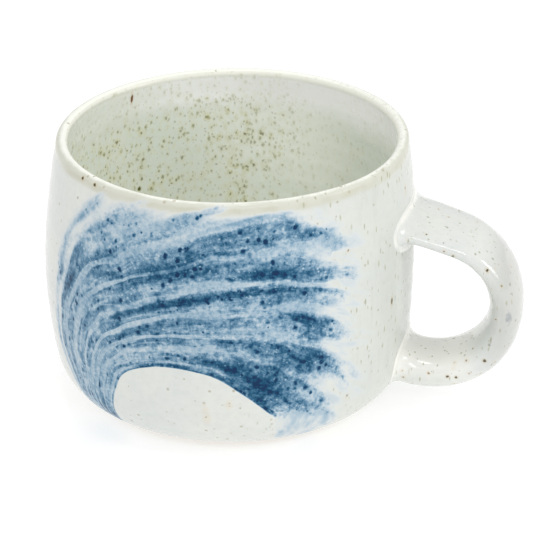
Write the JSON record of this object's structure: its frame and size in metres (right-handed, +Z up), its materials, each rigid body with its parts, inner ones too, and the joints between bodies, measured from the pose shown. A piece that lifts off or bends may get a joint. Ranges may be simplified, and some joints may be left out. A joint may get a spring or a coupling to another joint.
{
  "type": "ceramic mug",
  "caption": "Squat round-bellied stoneware mug with a strap loop handle, speckled glaze inside and a brushed blue wash on the outside.",
  "frame": {"origin": "centre of the foot ring's face, on the table", "axes": "+Z up out of the mug's mouth, +X towards the handle, -Y towards the brushwork"},
  "size_m": [0.1339, 0.1028, 0.077],
  "materials": {
    "stoneware_clay": "bare fired stoneware, matte and fine-grained, seen only at the foot",
    "joint_slip": "fired slip of the same clay, under the glaze",
    "white_glaze": "glossy white glaze with sparse iron specks",
    "cobalt_glaze": "glossy white glaze stained by brushed cobalt, with streaks and mottling",
    "celadon_glaze": "glossy pale grey-green glaze with clusters of iron specks"
  },
  "bodies": {
    "root": {"body": "stoneware_clay", "handle": "stoneware_clay", "upper_handle_joint": "joint_slip", "lower_handle_joint": "joint_slip", "outer_glaze": "white_glaze", "brushwork": "cobalt_glaze", "liner_glaze": "celadon_glaze", "handle_glaze": "white_glaze"}
  },
  "joints": []
}
